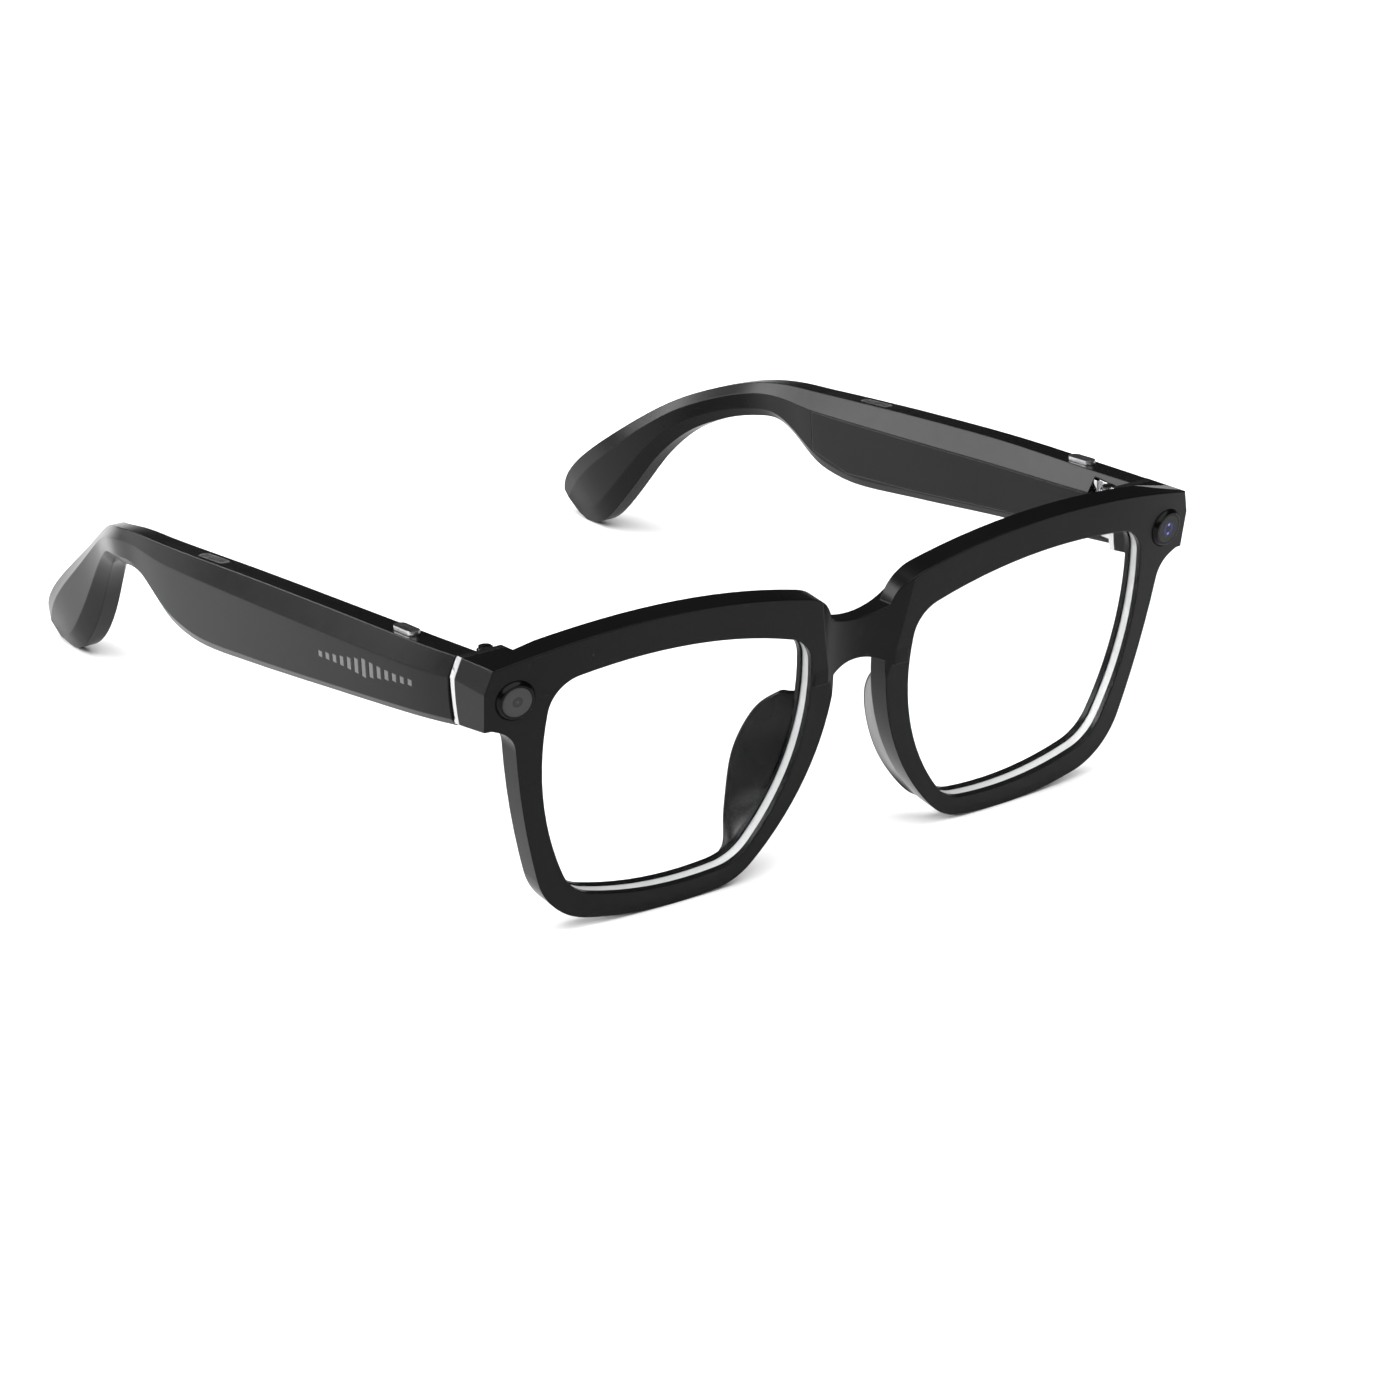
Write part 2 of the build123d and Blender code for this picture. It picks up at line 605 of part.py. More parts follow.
# ---------------------------------------------------------------- camera and indicator
with BuildPart() as bezel:
    with BuildSketch(camera_spot.offset(-BEZEL_SUNK)):
        Circle(BEZEL_RADIUS)
    extrude(amount=BEZEL_SUNK)
    with BuildSketch(camera_spot):
        Circle(BEZEL_RADIUS)
    with BuildSketch(camera_spot.offset(BEZEL_PROUD)):
        Circle(BEZEL_TOP_RADIUS)
    loft()
    with BuildSketch(camera_spot.offset(BEZEL_PROUD)):
        Circle(WINDOW_RADIUS)
    extrude(amount=-WINDOW_THICKNESS, mode=Mode.SUBTRACT)
    with BuildSketch(camera_spot.offset(BEZEL_PROUD)):
        Circle(BARREL_RADIUS)
    extrude(amount=-BEZEL_PROUD - BEZEL_SUNK - BEYOND, mode=Mode.SUBTRACT)
save(bezel, "camera_bezel")

with BuildPart() as window:
    with BuildSketch(camera_spot.offset(BEZEL_PROUD)):
        Circle(WINDOW_RADIUS)
    extrude(amount=-WINDOW_THICKNESS)
save(window, "camera_glass")

with BuildPart() as indicator_bezel:
    mirror(bezel.part, about=Plane.YZ)
save(indicator_bezel, "indicator_bezel")

with BuildPart() as indicator_window:
    mirror(window.part, about=Plane.YZ)
save(indicator_window, "indicator_window")

with BuildPart() as camera_module:
    with BuildSketch(upright_plane(0)):
        with Locations((CAMERA_X + CAMERA_POCKET_SHIFT, CAMERA_Z)):
            Rectangle(CAMERA_POCKET - 2 * MODULE_SLACK, CAMERA_POCKET - 2 * MODULE_SLACK)
    extrude(amount=BIG / 2, both=True)
    add(face_sheet(BODY_FRONT, BODY_BACK), mode=Mode.INTERSECT)
    with BuildSketch(camera_spot.offset(BEZEL_PROUD - WINDOW_THICKNESS - MODULE_SLACK)):
        Circle(BARREL_RADIUS - BARREL_SLACK)
    extrude(amount=-BODY_FRONT - MODULE_SLACK)
save(camera_module, "camera_module")

with BuildPart() as indicator_board:
    with BuildSketch(upright_plane(0)):
        with Locations((-CAMERA_X - CAMERA_POCKET_SHIFT, CAMERA_Z)):
            Rectangle(CAMERA_POCKET - 2 * MODULE_SLACK, CAMERA_POCKET - 2 * MODULE_SLACK)
    extrude(amount=BIG / 2, both=True)
    add(face_sheet(BODY_FRONT, BOARD_BACK), mode=Mode.INTERSECT)
    with BuildSketch(face_spot(-CAMERA_X, CAMERA_Z).offset(-LIGHT_FRONT)):
        Rectangle(*LIGHT_SIZE)
    extrude(amount=LIGHT_FRONT - BODY_FRONT - MODULE_SLACK)
save(indicator_board, "indicator_board")

# ---------------------------------------------------------------- nose pads
with BuildPart() as whole_pad:
    for z, root_in, root_out, tip_x, tip_y in PAD_STATIONS:
        root_y = (FACE_PIVOT_Z - z) * tan(TILT) + PAD_ROOT_DEPTH
        with BuildSketch(level_plane(z)):
            with BuildLine():
                Line((root_out, root_y), (root_in, root_y))
                ThreePointArc((root_in, root_y),
                              (root_in + (tip_x - root_in) * PAD_HOLLOW, (root_y + tip_y) / 2),
                              (tip_x - PAD_TIP, tip_y - PAD_TIP))
                ThreePointArc((tip_x - PAD_TIP, tip_y - PAD_TIP), (tip_x, tip_y),
                              (tip_x + PAD_TIP, tip_y - PAD_TIP))
                Line((tip_x + PAD_TIP, tip_y - PAD_TIP), (root_out, root_y))
            make_face()
    loft()
    add(front_frame.part, mode=Mode.SUBTRACT)

# Only the pad behind the rim stays, not the sliver that its root leaves in the lens opening.
with BuildPart() as nose_pad:
    add(whole_pad.solids().sort_by(SortBy.VOLUME)[-1])
save_pair(nose_pad, "nose_pad")

# ================================================================ hinges
with BuildPart() as hinge_plate:
    add(prism(BLOCK_INNER_X, BLOCK_SIDE, BIG))
    with BuildSketch(upright_plane(0)):
        Polygon(*SEAM_OUTLINE, align=None)
    extrude(amount=BIG / 2, both=True, mode=Mode.INTERSECT)
    add(ahead_of_seam(PLATE_THICKNESS), mode=Mode.INTERSECT)
    add(ahead_of_seam(0), mode=Mode.SUBTRACT)
    for low, high in (KNUCKLE_LEVELS[:2], KNUCKLE_LEVELS[2:]):
        with BuildSketch(level_plane(low)):
            with Locations((PIN_X, PIN_Y)):
                Circle(KNUCKLE_RADIUS)
            with Locations((PIN_X, PIN_Y)):
                Rectangle(2 * KNUCKLE_RADIUS, PIN_Y - WEB_FRONT_Y, align=(Align.CENTER, Align.MAX))
        extrude(amount=high - low)
    with BuildSketch(level_plane(KNUCKLE_LEVELS[0])):
        with Locations((PIN_X, PIN_Y)):
            Circle(PIN_RADIUS)
    extrude(amount=KNUCKLE_LEVELS[3] - KNUCKLE_LEVELS[0], mode=Mode.SUBTRACT)
    add(plate_holes.part, mode=Mode.SUBTRACT)
save_pair(hinge_plate, "hinge_plate")

with BuildPart() as plate_screws:
    for seat in plate_seats:
        add(screw(seat, PLATE_SCREW_LENGTH))
save_pair(plate_screws, "plate_screws")

with BuildPart() as hinge_screw:
    with BuildSketch(level_plane(KNUCKLE_LEVELS[0])):
        with Locations((PIN_X, PIN_Y)):
            Circle(PIN_RADIUS)
    extrude(amount=KNUCKLE_LEVELS[3] - KNUCKLE_LEVELS[0])
    with BuildSketch(level_plane(KNUCKLE_LEVELS[3])):
        with Locations((PIN_X, PIN_Y)):
            Circle(PIN_HEAD_RADIUS)
    extrude(amount=PIN_HEAD)
    with BuildSketch(level_plane(KNUCKLE_LEVELS[3] + PIN_HEAD)):
        with Locations((PIN_X, PIN_Y)):
            Rectangle(2 * PIN_HEAD_RADIUS, SCREW_SLOT)
    extrude(amount=-SCREW_SLOT, mode=Mode.SUBTRACT)
save_pair(hinge_screw, "hinge_screw")

leaf_seats = [Plane(origin=(LEAF_X - LEAF_THICKNESS, DATUM_Y + LEAF_SCREW_Y, z), z_dir=(-1, 0, 0))
              for z in LEAF_SCREW_LEVELS]

with BuildPart() as leaf_holes:
    for seat in leaf_seats:
        add(screw_hole(seat, LEAF_SCREW_LENGTH))

with BuildPart() as leaf_screws:
    for seat in leaf_seats:
        add(screw(seat, LEAF_SCREW_LENGTH))
save_pair(leaf_screws, "leaf_screws")

with BuildPart() as hinge_leaf:
    with BuildSketch(level_plane(KNUCKLE_LEVELS[1] + KNUCKLE_GAP)):
        with Locations((PIN_X, PIN_Y)):
            Circle(KNUCKLE_RADIUS)
        with Locations(((PIN_X + LEAF_X) / 2, PIN_Y)):
            Rectangle(LEAF_X - PIN_X, LEAF_ARM)
    extrude(amount=KNUCKLE_LEVELS[2] - KNUCKLE_LEVELS[1] - 2 * KNUCKLE_GAP)
    with BuildSketch(side_plane(LEAF_X)):
        with Locations(((LEAF_FRONT_Y + LEAF_BACK_Y) / 2, sum(LEAF_LEVELS) / 2)):
            Rectangle(LEAF_BACK_Y - LEAF_FRONT_Y, LEAF_LEVELS[1] - LEAF_LEVELS[0])
    extrude(amount=-LEAF_THICKNESS)
    with BuildSketch(level_plane(LEAF_LEVELS[0])):
        with Locations((LEAF_X, LEAF_BACK_Y)):
            Rectangle(LEAF_X - FLANGE_X, LEAF_THICKNESS, align=Align.MAX)
    extrude(amount=LEAF_LEVELS[1] - LEAF_LEVELS[0])
    with BuildSketch(level_plane(0)):
        with Locations((PIN_X, PIN_Y)):
            Circle(PIN_RADIUS + PIN_CLEARANCE)
    extrude(amount=BIG, mode=Mode.SUBTRACT)
    add(leaf_holes.part, mode=Mode.SUBTRACT)
save_pair(hinge_leaf, "hinge_leaf")

# ================================================================ temples
blank = temple_blank()

with BuildPart() as hinge_pocket:
    with BuildSketch(level_plane(HINGE_POCKET_LEVELS[0])):
        with Locations((LEAF_X, HINGE_POCKET_Y)):
            Rectangle(HINGE_POCKET_Y, HINGE_POCKET_Y, align=Align.MAX)
    extrude(amount=HINGE_POCKET_LEVELS[1] - HINGE_POCKET_LEVELS[0])
    with BuildSketch(level_plane(0)):
        with Locations((HINGE_RELIEF_X, HINGE_POCKET_Y)):
            Rectangle(HINGE_POCKET_Y, HINGE_POCKET_Y, align=Align.MAX)
    extrude(amount=BIG)

bay_low = [station_point(cut, BAY_FLOOR - cut.height / 2) for cut in BAY_STATIONS]
bay_high = [station_point(cut, cut.height / 2 - BAY_ROOF) for cut in reversed(BAY_STATIONS)]
cover_low = [station_point(cut, cut.rise + COVER_INSET - cut.height / 2) for cut in BAY_STATIONS]
cover_high = [station_point(cut, cut.height / 2 - cut.drop_in - COVER_INSET) for cut in reversed(BAY_STATIONS)]

with BuildPart() as bay:
    add(prism(BAY_INNER_X, bay_low + bay_high, BAY_OUTER_X - BAY_INNER_X))
    add(between(BAY_FRONT_Y, BAY_BACK_Y), mode=Mode.INTERSECT)

with BuildPart() as plain_cover:
    add(prism(0, cover_low + cover_high, BAY_INNER_X))
    add(between(COVER_FRONT_Y, COVER_BACK_Y), mode=Mode.INTERSECT)
    add(blank, mode=Mode.INTERSECT)

# The wire follows the middle of the hook, with a bend at each station.
wire_points = []
for row in TEMPLE_STATIONS[6:-1]:
    cut = Station(*row)
    wire_points.append(((cut.out + cut.inn) / 2, DATUM_Y + cut.y, cut.z))

with BuildPart() as core_wire:
    with BuildLine() as wire_line:
        FilletPolyline(*wire_points, radius=WIRE_BEND)
    with BuildSketch(Plane(origin=wire_line.line @ 0, z_dir=wire_line.line % 0)):
        Circle(WIRE_RADIUS)
    sweep()
save_pair(core_wire, "core_wire")

button_top = top_plane(TOP_STRIP_X, BUTTON_Y)
with BuildPart() as button:
    with BuildSketch(button_top.offset(-BUTTON_SUNK)):
        SlotOverall(BUTTON_LENGTH, BUTTON_WIDTH, rotation=90)
    extrude(amount=BUTTON_SUNK + BUTTON_PROUD)
    with BuildSketch(button_top.offset(-BUTTON_SUNK)):
        Circle(STEM_RADIUS)
    extrude(amount=BUTTON_SUNK - STEM_LENGTH)
save_pair(button, "button")

with BuildPart() as button_well:
    with BuildSketch(button_top.offset(BUTTON_PROUD)):
        SlotOverall(BUTTON_LENGTH + 2 * BUTTON_GAP, BUTTON_WIDTH + 2 * BUTTON_GAP, rotation=90)
    extrude(amount=-BUTTON_PROUD - BUTTON_SUNK - BUTTON_TRAVEL - BUTTON_GAP)
    with BuildSketch(button_top):
        Circle(STEM_HOLE_RADIUS)
    extrude(amount=-BAY_ROOF - BEYOND)

with BuildPart() as tact_switch:
    with BuildSketch(button_top.offset(-STEM_LENGTH - BUTTON_TRAVEL - BUTTON_GAP)):
        Rectangle(*SWITCH_SIZE)
    extrude(amount=-SWITCH_HEIGHT)
save_pair(tact_switch, "tact_switch")

grille_top = top_plane(GRILLE_X, GRILLE_Y)
with BuildPart() as grille_duct:
    with BuildSketch(grille_top.offset(BUTTON_PROUD)):
        SlotOverall(GRILLE_LENGTH, GRILLE_WIDTH, rotation=90)
    extrude(amount=-BUTTON_PROUD - BAY_ROOF - BEYOND)

with BuildPart() as speaker_grille:
    with BuildSketch(grille_top.offset(BUTTON_PROUD)):
        SlotOverall(GRILLE_LENGTH, GRILLE_WIDTH, rotation=90)
    extrude(amount=-BUTTON_PROUD - GRILLE_THICKNESS)
    add(blank, mode=Mode.INTERSECT)
    with BuildSketch(grille_top.offset(BUTTON_PROUD)):
        with GridLocations(0, GRILLE_PITCH, 1, GRILLE_SLITS):
            Rectangle(GRILLE_WIDTH - GRILLE_SLIT, GRILLE_SLIT)
    extrude(amount=-BUTTON_PROUD - GRILLE_THICKNESS - BEYOND, mode=Mode.SUBTRACT)
save_pair(speaker_grille, "speaker_grille")

with BuildPart() as plain_housing:
    add(blank)
    add(ahead_of_seam(PLATE_THICKNESS + SEAM_GAP), mode=Mode.SUBTRACT)
    for cut in (hinge_pocket, leaf_holes, bay, plain_cover, core_wire, button_well, grille_duct):
        add(cut.part, mode=Mode.SUBTRACT)

# ---------------------------------------------------------------- marks and contacts
with BuildPart() as mark_bars:
    for i in range(MARK_COUNT):
        y = MARK_START_Y + i * MARK_PITCH
        from_middle = abs(i - (MARK_COUNT - 1) / 2) / (MARK_COUNT / 2)
        tall = MARK_SHORT + (MARK_TALL - MARK_SHORT) * (1 - from_middle)**2
        add(slab(Plane(origin=(BAY_OUTER_X, DATUM_Y + y, MARK_Z - MARK_FALL * (y - MARK_START_Y)),
                       x_dir=(0, 1, 0), z_dir=(1, 0, 0)), (MARK_WIDTH, tall), MARK_REACH))

with BuildPart() as inlay:
    add(mark_bars.part)
    add(blank, mode=Mode.INTERSECT)
    add(blank.moved(Location((-MARK_DEPTH, 0, 0))), mode=Mode.SUBTRACT)

with BuildPart() as contact_pins:
    for i in range(CONTACT_COUNT):
        y = CONTACT_Y + i * CONTACT_PITCH
        with BuildSketch(side_plane(CONTACT_X)):
            with Locations((y, CONTACT_Z - MARK_FALL * (y - CONTACT_Y))):
                Circle(CONTACT_RADIUS)
        extrude(amount=CONTACT_DEPTH)

with BuildPart() as temple_housing_left:
    add(plain_housing.part)
save(temple_housing_left, "temple_housing_left")

with BuildPart() as temple_housing_right:
    mirror(plain_housing.part, about=Plane.YZ)
    mirror(inlay.part, about=Plane.YZ, mode=Mode.SUBTRACT)
save(temple_housing_right, "temple_housing_right")

with BuildPart() as touch_marks:
    mirror(inlay.part, about=Plane.YZ)
save(touch_marks, "touch_marks")

with BuildPart() as temple_cover_left:
    add(plain_cover.part)
save(temple_cover_left, "temple_cover_left")

with BuildPart() as temple_cover_right:
    mirror(plain_cover.part, about=Plane.YZ)
    mirror(contact_pins.part, about=Plane.YZ, mode=Mode.SUBTRACT)
save(temple_cover_right, "temple_cover_right")

with BuildPart() as charging_contacts:
    mirror(contact_pins.part, about=Plane.YZ)
save(charging_contacts, "charging_contacts")

# ---------------------------------------------------------------- inside the bays
with BuildPart() as battery:
    add(slab(bay_plane(BAY_INNER_X + MODULE_SLACK, BATTERY_Y, BATTERY_Z), BATTERY_SIZE, BAY_FILL))
save_pair(battery, "battery")

with BuildPart() as speaker:
    add(slab(bay_plane(BAY_INNER_X + MODULE_SLACK, SPEAKER_Y, SPEAKER_Z), SPEAKER_SIZE, BAY_FILL))
save_pair(speaker, "speaker")


def circuit_board(chips):
    """Board along the bay with square chips; chips are (offset, size along, size up)."""
    with BuildPart() as board:
        add(slab(bay_plane(BAY_INNER_X + MODULE_SLACK, BOARD_Y, BOARD_Z), BOARD_SIZE, BOARD_THICKNESS))
        face = bay_plane(BAY_INNER_X + MODULE_SLACK + BOARD_THICKNESS, BOARD_Y, BOARD_Z)
        with BuildSketch(face):
            for offset_y, along, up in chips:
                with Locations((offset_y, 0)):
                    Rectangle(along, up)
        extrude(amount=CHIP_HEIGHT)
    return board


save(circuit_board(MAIN_CHIPS), "main_board")

with BuildPart() as audio_board:
    mirror(circuit_board(AUDIO_CHIPS).part, about=Plane.YZ)
save(audio_board, "audio_board")
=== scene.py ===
import json
import math

import bpy
from mathutils import Matrix, Vector


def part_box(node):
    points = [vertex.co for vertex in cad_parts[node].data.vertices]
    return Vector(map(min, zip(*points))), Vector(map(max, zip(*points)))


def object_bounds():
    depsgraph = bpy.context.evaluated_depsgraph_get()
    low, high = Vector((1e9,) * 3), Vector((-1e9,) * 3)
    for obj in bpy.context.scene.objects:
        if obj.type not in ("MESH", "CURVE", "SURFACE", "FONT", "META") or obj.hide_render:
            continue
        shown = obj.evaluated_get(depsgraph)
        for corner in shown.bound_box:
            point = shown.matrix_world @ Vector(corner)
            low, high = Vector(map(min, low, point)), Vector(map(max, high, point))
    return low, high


MM = 0.001

# ---------------------------------------------------------------- camera
AZIMUTH = -36.36
ELEVATION = 22.28
ROLL = 0.49
DISTANCE = 0.8059        # from the object's middle, along the line of sight
AIM_RIGHT = 0.0191       # the line of sight passes this far right of the middle
AIM_UP = -0.0214         # and this far above it
FOCAL_LENGTH = 115.7
SENSOR = 36.0
SHIFT_X = 0.0091
SHIFT_Y = -0.0043
NEAR_CLIP = 0.01

# ---------------------------------------------------------------- floor and light
FLOOR_SIZE = 8.0
FLOOR_DROP = 0.05        # mm, so that the floor and the glasses don't share a plane
OVERHEAD_SIZE = 3.2
OVERHEAD_HEIGHT = 1.9
OVERHEAD_PLACE = (-0.4, -0.5)
OVERHEAD_POWER = 125.0
SIDE_BOX_SIZE = (1.5, 0.6)
SIDE_BOX_DISTANCE = 1.5
SIDE_BOX_AZIMUTH = 41.0  # behind the glasses on their right, seen from above
SIDE_BOX_ELEVATION = 22.5
SIDE_BOX_POWER = 36.0
LIGHT_AIM_Z = 0.03
WORLD_STRENGTH = 0.03

# ---------------------------------------------------------------- finishes
# Noise scales are in features per metre.
FLOW_SCALE = 45
FLOW_STRETCH = (1, 0.35, 1)
GLOSS_SCALE = 420
GRAIN_SCALE = 5200
GRAIN_DEPTH = 0.01       # mm
GRAIN_STRENGTH = 0.08
TOOL_MARK_STRENGTH = 0.15
METAL_GLOSS_SCALE = 900
TRACK_SCALE = 900
TRACK_DEPTH = 0.02       # mm
TRACK_STRENGTH = 0.2
SHELL_EDGE = 0.35        # mm, radius of the shell's edges
EDGE_SAMPLES = 8
NOISE_MIDDLE = (0.3, 0.7)  # the part of a noise's values that spread() stretches
LENS_IOR = 1.04          # the coating leaves the lens almost no glare
FACE_LIMIT = 0.6         # the lens's faces look along Y by more than this, its edge by less
BLACK = (0.0026, 0.0026, 0.0028)
SOFT_BLACK = (0.0036, 0.0036, 0.0039)

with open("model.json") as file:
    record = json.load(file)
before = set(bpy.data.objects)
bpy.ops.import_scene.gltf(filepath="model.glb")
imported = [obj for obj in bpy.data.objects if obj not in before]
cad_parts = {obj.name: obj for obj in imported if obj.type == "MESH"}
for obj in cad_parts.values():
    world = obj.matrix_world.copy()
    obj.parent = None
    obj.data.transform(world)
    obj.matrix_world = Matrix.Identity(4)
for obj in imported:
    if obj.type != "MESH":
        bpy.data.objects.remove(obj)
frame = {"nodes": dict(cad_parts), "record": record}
nodes = frame["nodes"]
slot_of = {part["node"]: part["material_slot"] for part in frame["record"]["subparts"]}
cad_low, cad_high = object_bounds()


# ================================================================ materials
def grey(value):
    """Neutral colour."""
    return value, value, value


def new_material(name):
    """Material with one Principled shader; returns it with its node tree and shader."""
    material = bpy.data.materials.new(name)
    material.use_nodes = True
    tree = material.node_tree
    tree.nodes.clear()
    output = tree.nodes.new("ShaderNodeOutputMaterial")
    shader = tree.nodes.new("ShaderNodeBsdfPrincipled")
    tree.links.new(shader.outputs["BSDF"], output.inputs["Surface"])
    return material, tree, shader


def noise(tree, scale, detail=3.0, stretch=(1, 1, 1)):
    """Noise in the object's own space; scale is in features per metre."""
    place = tree.nodes.new("ShaderNodeTexCoord")
    mapping = tree.nodes.new("ShaderNodeMapping")
    mapping.inputs["Scale"].default_value = stretch
    texture = tree.nodes.new("ShaderNodeTexNoise")
    texture.inputs["Scale"].default_value = scale
    texture.inputs["Detail"].default_value = detail
    tree.links.new(place.outputs["Object"], mapping.inputs["Vector"])
    tree.links.new(mapping.outputs["Vector"], texture.inputs["Vector"])
    return texture.outputs["Fac"]


def spread(tree, value, low, high):
    """Maps the middle of a noise onto the range low to high."""
    ramp = tree.nodes.new("ShaderNodeMapRange")
    ramp.inputs["From Min"].default_value = NOISE_MIDDLE[0]
    ramp.inputs["From Max"].default_value = NOISE_MIDDLE[1]
    ramp.inputs["To Min"].default_value = low
    ramp.inputs["To Max"].default_value = high
    tree.links.new(value, ramp.inputs["Value"])
    return ramp.outputs["Result"]


def blend_colours(tree, value, first, second):
    """Colour between first and second, by a value from 0 to 1."""
    mix = tree.nodes.new("ShaderNodeMix")
    mix.data_type = "RGBA"
    mix.inputs["A"].default_value = (*first, 1)
    mix.inputs["B"].default_value = (*second, 1)
    tree.links.new(value, mix.inputs["Factor"])
    return mix.outputs["Result"]


def vary_roughness(tree, shader, pattern, low, high):
    """Uneven gloss, between two roughnesses."""
    tree.links.new(spread(tree, pattern, low, high), shader.inputs["Roughness"])


def bump(tree, shader, height, strength, depth):
    """Fine surface relief; depth is in mm."""
    relief = tree.nodes.new("ShaderNodeBump")
    relief.inputs["Strength"].default_value = strength
    relief.inputs["Distance"].default_value = depth * MM
    tree.links.new(height, relief.inputs["Height"])
    tree.links.new(relief.outputs["Normal"], shader.inputs["Normal"])
    return relief


def moulded(name, dark, light, rough, specular=0.085, edge=0.0):
    """Moulded plastic: flow marks, uneven gloss, fine grain and rounded edges (edge in mm)."""
    material, tree, shader = new_material(name)
    flow = spread(tree, noise(tree, FLOW_SCALE, 4.0, FLOW_STRETCH), 0, 1)
    tree.links.new(blend_colours(tree, flow, dark, light), shader.inputs["Base Color"])
    vary_roughness(tree, shader, noise(tree, GLOSS_SCALE, 4.0), *rough)
    shader.inputs["Specular IOR Level"].default_value = specular
    relief = bump(tree, shader, noise(tree, GRAIN_SCALE, 2.0), GRAIN_STRENGTH, GRAIN_DEPTH)
    if edge:
        rounding = tree.nodes.new("ShaderNodeBevel")
        rounding.samples = EDGE_SAMPLES
        rounding.inputs["Radius"].default_value = edge * MM
        tree.links.new(rounding.outputs["Normal"], relief.inputs["Normal"])
    return material


def metal(name, dark, light, rough, stretch=(1, 1, 1), scale=2600):
    """Machined or brushed metal, with its tool marks drawn out by stretch."""
    material, tree, shader = new_material(name)
    marks = noise(tree, scale, 3.0, stretch)
    colour = blend_colours(tree, spread(tree, marks, 0, 1), dark, light)
    tree.links.new(colour, shader.inputs["Base Color"])
    vary_roughness(tree, shader, noise(tree, METAL_GLOSS_SCALE, 2.0, stretch), *rough)
    shader.inputs["Metallic"].default_value = 1.0
    bump(tree, shader, marks, TOOL_MARK_STRENGTH, GRAIN_DEPTH)
    return material


def lens_material():
    """Clear coated lens whose ground edge is frosted white."""
    material, tree, shader = new_material("clear_lens")
    shader.inputs["Base Color"].default_value = (0.985, 0.99, 0.99, 1)
    shader.inputs["Transmission Weight"].default_value = 1.0
    shader.inputs["IOR"].default_value = LENS_IOR
    vary_roughness(tree, shader, noise(tree, 30), 0.0, 0.015)
    edge = tree.nodes.new("ShaderNodeBsdfPrincipled")
    tree.links.new(blend_colours(tree, noise(tree, 3000), (0.2, 0.205, 0.205), grey(0.27)),
                   edge.inputs["Base Color"])
    edge.inputs["Roughness"].default_value = 0.6
    facing = tree.nodes.new("ShaderNodeVectorMath")
    facing.operation = "DOT_PRODUCT"
    facing.inputs[1].default_value = (0, 1, 0)
    place = tree.nodes.new("ShaderNodeTexCoord")
    size = tree.nodes.new("ShaderNodeMath")
    size.operation = "ABSOLUTE"
    is_face = tree.nodes.new("ShaderNodeMath")
    is_face.operation = "GREATER_THAN"
    is_face.inputs[1].default_value = FACE_LIMIT
    mix = tree.nodes.new("ShaderNodeMixShader")
    output = tree.nodes["Material Output"]
    tree.links.new(place.outputs["Normal"], facing.inputs[0])
    tree.links.new(facing.outputs["Value"], size.inputs[0])
    tree.links.new(size.outputs["Value"], is_face.inputs[0])
    tree.links.new(is_face.outputs["Value"], mix.inputs["Fac"])
    tree.links.new(edge.outputs["BSDF"], mix.inputs[1])
    tree.links.new(shader.outputs["BSDF"], mix.inputs[2])
    tree.links.new(mix.outputs["Shader"], output.inputs["Surface"])
    return material


def distance_from(tree, place, middle):
    """Distance of each shaded place from a middle."""
    distance = tree.nodes.new("ShaderNodeVectorMath")
    distance.operation = "DISTANCE"
    distance.inputs[1].default_value = middle
    tree.links.new(place, distance.inputs[0])
    return distance.outputs["Value"]


def disc_material(name, bands, painted_glints, rough, specular):
    """Round window of the node of this name.

    Bands are (radius in mm, colour) from the middle outwards. Spots are painted glints,
    highlights of the optics inside: (height above the middle in mm, radius in mm, colour).
    """
    material, tree, shader = new_material(name)
    low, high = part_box(name)
    middle = Vector(((low.x + high.x) / 2, 0, (low.z + high.z) / 2))
    rim = bands[-1][0]
    place = tree.nodes.new("ShaderNodeTexCoord")
    # Y is left out, so that distances run across the window's face.
    flat = tree.nodes.new("ShaderNodeVectorMath")
    flat.operation = "MULTIPLY"
    flat.inputs[1].default_value = (1, 0, 1)
    tree.links.new(place.outputs["Object"], flat.inputs[0])
    share = tree.nodes.new("ShaderNodeMath")
    share.operation = "DIVIDE"
    share.inputs[1].default_value = rim * MM
    tree.links.new(distance_from(tree, flat.outputs["Vector"], middle), share.inputs[0])
    ramp = tree.nodes.new("ShaderNodeValToRGB")
    stops = ramp.color_ramp.elements
    for stop, (radius, colour) in zip(stops, (bands[0], bands[-1])):
        stop.position = radius / rim
        stop.color = (*colour, 1)
    for radius, colour in bands[1:-1]:
        stops.new(radius / rim).color = (*colour, 1)
    tree.links.new(share.outputs["Value"], ramp.inputs["Fac"])
    painted = ramp.outputs["Color"]
    # Each painted glint is a small light spot mixed into the colour.
    for height, radius, colour in painted_glints:
        glint_centre = middle + Vector((0, 0, height * MM))
        glint_mask = tree.nodes.new("ShaderNodeMapRange")
        glint_mask.inputs["From Min"].default_value = radius * MM
        glint_mask.inputs["From Max"].default_value = 2 * radius * MM
        glint_mask.inputs["To Min"].default_value = 1
        glint_mask.inputs["To Max"].default_value = 0
        mix = tree.nodes.new("ShaderNodeMix")
        mix.data_type = "RGBA"
        mix.inputs["B"].default_value = (*colour, 1)
        tree.links.new(distance_from(tree, flat.outputs["Vector"], glint_centre), glint_mask.inputs["Value"])
        tree.links.new(glint_mask.outputs["Result"], mix.inputs["Factor"])
        tree.links.new(painted, mix.inputs["A"])
        painted = mix.outputs["Result"]
    tree.links.new(painted, shader.inputs["Base Color"])
    vary_roughness(tree, shader, noise(tree, 1500), *rough)
    shader.inputs["Specular IOR Level"].default_value = specular
    return material


